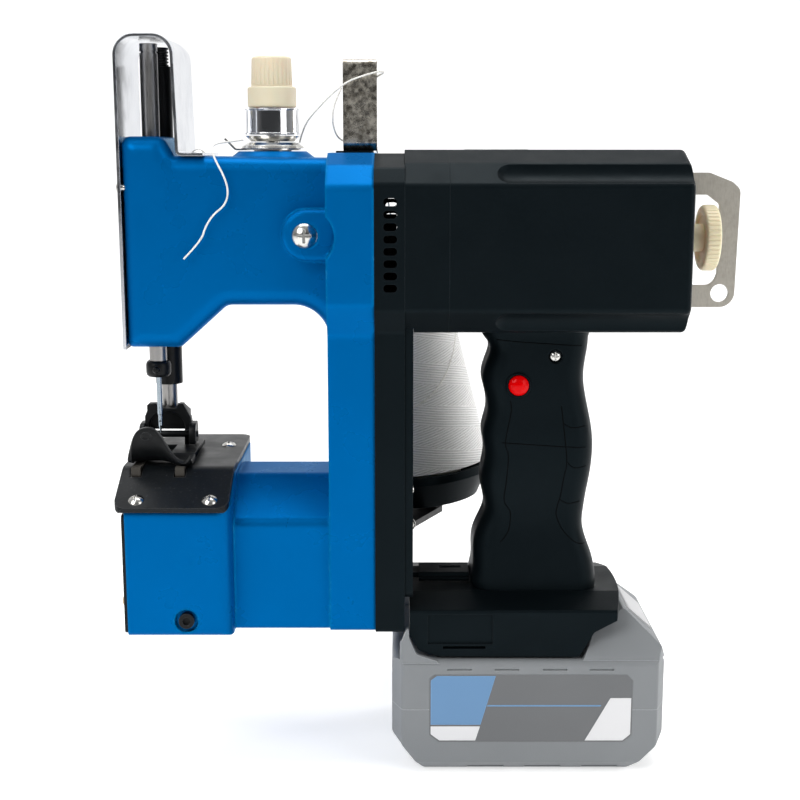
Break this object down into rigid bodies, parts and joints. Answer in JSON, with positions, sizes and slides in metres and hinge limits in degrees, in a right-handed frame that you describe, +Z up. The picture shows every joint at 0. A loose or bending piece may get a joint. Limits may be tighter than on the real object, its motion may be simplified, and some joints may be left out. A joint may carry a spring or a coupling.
{
  "type": "bag closer sewing machine",
  "caption": "Portable bag closer: chain-stitch sewing head with a blue C-frame casting, belt drive, motor, grip, thread cone and slide-on battery pack.",
  "frame": {"origin": "centre of the battery pack's flat bottom", "axes": "+X from the needle end to the handwheel end, +Y along the bag's feed direction away from the operator's side, +Z up"},
  "size_m": [0.2659, 0.1585, 0.314],
  "materials": {
    "blue_paint": "satin paint on cast aluminium",
    "chrome": "polished",
    "black_plate": "black coated sheet",
    "steel": "machined",
    "bronze": "sintered",
    "black_oxide": "black oxide",
    "black_plastic": "fine moulded texture",
    "thread": "wound sewing thread",
    "belt_rubber": "ribbed",
    "cast_iron": "machined",
    "cream_plastic": "moulded",
    "red_plastic": "gloss",
    "grey_plastic": "moulded",
    "cell_steel": "sleeve",
    "pale_plastic": "moulded",
    "core_plastic": "moulded"
  },
  "bodies": {
    "machine": {"main_casting": "blue_paint", "face_plate": "chrome", "box_side_cover": "black_plate", "needle_plate": "black_plate", "machine_screws": "steel", "lever_pivot_pin": "steel", "needle_bar_bushes": "bronze", "presser_bush": "black_oxide", "presser_sleeve": "black_oxide", "presser_spring": "steel", "thread_guide": "steel", "tension_discs": "steel", "tension_spring": "steel", "thread_bracket": "steel", "bracket_pad": "black_plastic", "spool_bracket": "steel", "spool_cup": "black_plastic", "thread_supply": "thread", "thread_slack": "thread", "thread_tail": "thread", "belt_case": "black_plastic", "belt_cover": "black_plastic", "timing_belt": "belt_rubber", "motor_ring": "black_plastic", "motor_housing": "black_plastic", "motor_stator": "cast_iron", "ball_bearings": "steel", "guard_bracket": "steel", "grip_near_half": "black_plastic", "grip_far_half": "black_plastic", "run_switch": "black_plastic", "battery_shoe": "black_plastic", "bridge_rail": "black_plastic"},
    "needle_train": {"needle_bar": "steel", "needle_clamp": "black_oxide", "needle": "chrome", "needle_bar_block": "steel"},
    "rocker": {"rocker_lever": "cast_iron"},
    "crank_link": {"crank_rod": "cast_iron"},
    "shaft": {"main_shaft": "steel", "main_shaft_pulley": "black_plastic"},
    "rotor": {"armature": "cast_iron", "motor_pulley": "steel", "cooling_fan": "black_plastic", "handwheel": "cream_plastic"},
    "looper": {"looper": "steel"},
    "feed": {"feed_dog": "steel"},
    "presser": {"presser_bar": "steel", "presser_shank": "black_oxide"},
    "foot": {"presser_foot": "black_oxide"},
    "lifter": {"lifter_lever": "black_oxide"},
    "tension_cup": {"tension_cup": "chrome"},
    "tension_knob": {"tension_knob": "cream_plastic"},
    "button": {"run_button": "red_plastic"},
    "pack": {"pack_lower": "grey_plastic", "pack_upper": "grey_plastic", "pack_cells": "cell_steel"},
    "latch": {"pack_latch": "pale_plastic"},
    "spool": {"thread_cone": "thread", "cone_core": "core_plastic"}
  },
  "joints": [
    {"name": "motor_spin", "type": "hinge", "parent": "machine", "child": "rotor", "pos_m": [0, 0, 0.23], "axis": [1, 0, 0], "continuous": true},
    {"name": "shaft_spin", "type": "hinge", "parent": "machine", "child": "shaft", "pos_m": [0, 0, 0.096], "axis": [1, 0, 0], "continuous": true},
    {"name": "rocker_swing", "type": "hinge", "parent": "machine", "child": "rocker", "pos_m": [-0.0938, 0, 0.2328], "axis": [0, -1, 0], "range_deg": [0, 24.81]},
    {"name": "needle_slide", "type": "slide", "parent": "machine", "child": "needle_train", "axis": [0, 0, -1], "range_m": [0, 0.0302]},
    {"name": "crank_rod_slide", "type": "slide", "parent": "machine", "child": "crank_link", "axis": [0, 0, 1], "range_m": [0, 0.0081]},
    {"name": "looper_swing", "type": "hinge", "parent": "machine", "child": "looper", "pos_m": [-0.146, 0, 0.098], "axis": [0, 1, 0], "range_deg": [0, 16.2]},
    {"name": "feed_slide", "type": "slide", "parent": "machine", "child": "feed", "axis": [0, 1, 0], "range_m": [0, 0.0071]},
    {"name": "presser_lift", "type": "slide", "parent": "machine", "child": "presser", "axis": [0, 0, 1], "range_m": [0, 0.008], "stiffness_N_per_m": 900, "springref_m": -0.01, "deforming": ["presser_spring"]},
    {"name": "foot_tip", "type": "hinge", "parent": "presser", "child": "foot", "pos_m": [-0.158, 0.008, 0.1415], "axis": [-1, 0, 0], "range_deg": [0, 3]},
    {"name": "lifter_turn", "type": "hinge", "parent": "machine", "child": "lifter", "pos_m": [-0.147, 0.015, 0.221], "axis": [0, 1, 0], "range_deg": [0, 34]},
    {"name": "tension_travel", "type": "slide", "parent": "machine", "child": "tension_cup", "axis": [0, 0, 1], "range_m": [0, 0.0021], "deforming": ["tension_spring"]},
    {"name": "tension_turn", "type": "hinge", "parent": "tension_cup", "child": "tension_knob", "pos_m": [-0.11, 0, 0.29], "axis": [0, 0, 1], "range_deg": [0, 720]},
    {"name": "run_button_press", "type": "slide", "parent": "machine", "child": "button", "axis": [0, 1, 0], "range_m": [0, 0.0025], "stiffness_N_per_m": 600, "springref_m": -0.002},
    {"name": "pack_slide", "type": "slide", "parent": "machine", "child": "pack", "axis": [1, 0, 0], "range_m": [0, 0.08]},
    {"name": "latch_press", "type": "slide", "parent": "pack", "child": "latch", "axis": [-0.66, 0, -0.7513], "range_m": [0, 0.003], "stiffness_N_per_m": 600, "springref_m": -0.002},
    {"name": "spool_turn", "type": "hinge", "parent": "machine", "child": "spool", "pos_m": [-0.04, 0.078, 0.095], "axis": [-0.1305, 0, 0.9914], "continuous": true}
  ],
  "couplings": [
    {"joint": "shaft_spin", "follows": "motor_spin", "ratio": 0.33333},
    {"joint": "needle_slide", "follows": "rocker_swing", "m_per_rad": 0.069286},
    {"joint": "crank_rod_slide", "follows": "rocker_swing", "m_per_rad": 0.018287},
    {"joint": "looper_swing", "follows": "rocker_swing", "ratio": 0.64494},
    {"joint": "feed_slide", "follows": "rocker_swing", "m_per_rad": 0.016167},
    {"joint": "lifter_turn", "follows": "presser_lift", "rad_per_m": 73.304},
    {"joint": "tension_travel", "follows": "tension_turn", "m_per_rad": 0.00015915}
  ]
}
